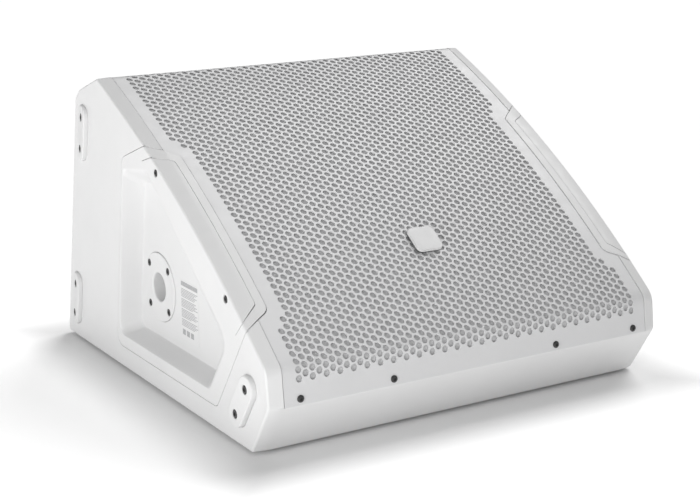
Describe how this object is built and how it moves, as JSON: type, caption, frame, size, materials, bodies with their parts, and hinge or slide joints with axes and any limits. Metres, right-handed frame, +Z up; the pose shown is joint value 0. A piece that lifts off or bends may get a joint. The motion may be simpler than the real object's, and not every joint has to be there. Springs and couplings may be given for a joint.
{
  "type": "stage monitor wedge",
  "caption": "White powered stage monitor wedge with a domed perforated grille, moulded side handle inserts, a side pole socket, a coaxial driver and a rear amplifier panel.",
  "frame": {"origin": "on the floor under the middle of the cabinet", "axes": "+X to the right of someone who faces the grille, +Y towards the back panel, +Z up"},
  "size_m": [0.5698, 0.5742, 0.3722],
  "materials": {
    "shell_white": "satin",
    "grille_white": "satin",
    "foot_white": "matte",
    "screw_black": "satin",
    "panel_black": "textured satin",
    "plastic_black": "matte",
    "rubber_black": "matte",
    "foam_grey": "matte",
    "board_wood": "raw",
    "cone_paper": "pulp",
    "steel_bare": "zinc plated",
    "ferrite": "matte",
    "aluminium_bare": "extruded",
    "board_green": "satin",
    "spider_cloth": "matte",
    "lamp_green": "clear",
    "label_film": "satin"
  },
  "bodies": {
    "cabinet": {"amp_board": "board_green", "amp_panel": "panel_black", "badge_base": "plastic_black", "badge_plate": "shell_white", "baffle_board": "board_wood", "base_foot_back_left": "rubber_black", "base_foot_back_right": "rubber_black", "base_foot_front_left": "rubber_black", "base_foot_front_right": "rubber_black", "cabinet_shell": "shell_white", "compression_driver": "steel_bare", "cross_brace": "board_wood", "damping_pad": "foam_grey", "foam_sheet": "foam_grey", "grille_panel": "grille_white", "grille_screw_1": "screw_black", "grille_screw_2": "screw_black", "grille_screw_3": "screw_black", "grille_screw_4": "screw_black", "grip_screw_left_lower": "screw_black", "grip_screw_left_upper": "screw_black", "grip_screw_right_lower": "screw_black", "grip_screw_right_upper": "screw_black", "handle_grip_left": "shell_white", "handle_grip_right": "shell_white", "heat_sink": "aluminium_bare", "horn": "plastic_black", "input_socket": "plastic_black", "link_socket": "plastic_black", "magnet_back_plate": "steel_bare", "magnet_front_plate": "steel_bare", "magnet_ring": "ferrite", "mains_inlet": "plastic_black", "pole_socket": "shell_white", "port_tube_left": "plastic_black", "port_tube_right": "plastic_black", "power_supply": "board_green", "rating_plate": "label_film", "side_foot_left_back_lower": "foot_white", "side_foot_left_back_upper": "foot_white", "side_foot_left_front": "foot_white", "side_foot_right_back_lower": "foot_white", "side_foot_right_back_upper": "foot_white", "side_foot_right_front": "foot_white", "side_tray_left": "shell_white", "side_tray_right": "shell_white", "status_lamp": "lamp_green", "switch_frame": "plastic_black", "woofer_basket": "screw_black", "woofer_clamp_ring": "rubber_black", "woofer_spider": "spider_cloth", "woofer_surround": "rubber_black"},
    "cone_assembly": {"woofer_cone": "cone_paper", "voice_coil": "aluminium_bare"},
    "level_knob": {"level_knob": "plastic_black"},
    "preset_button": {"preset_button": "shell_white"},
    "input_latch": {"input_latch": "plastic_black"},
    "power_rocker": {"power_rocker": "plastic_black"}
  },
  "joints": [
    {"name": "cone_travel", "type": "slide", "parent": "cabinet", "child": "cone_assembly", "axis": [0, -0.5135, 0.8581], "range_m": [-0.005, 0.005], "stiffness_N_per_m": 9000},
    {"name": "level_turn", "type": "hinge", "parent": "cabinet", "child": "level_knob", "pos_m": [0.14, 0.25648, 0.17], "axis": [0, 0.9839, 0.1786], "range_deg": [-150, 150]},
    {"name": "preset_press", "type": "slide", "parent": "cabinet", "child": "preset_button", "axis": [0, -0.9839, -0.1786], "range_m": [0, 0.0012], "stiffness_N_per_m": 900},
    {"name": "latch_press", "type": "slide", "parent": "cabinet", "child": "input_latch", "axis": [0, -0.9839, -0.1786], "range_m": [0, 0.0015], "stiffness_N_per_m": 900},
    {"name": "power_rock", "type": "hinge", "parent": "cabinet", "child": "power_rocker", "pos_m": [0.088, 0.25789, 0.10928], "axis": [1, 0, 0], "range_deg": [0, 20]}
  ]
}
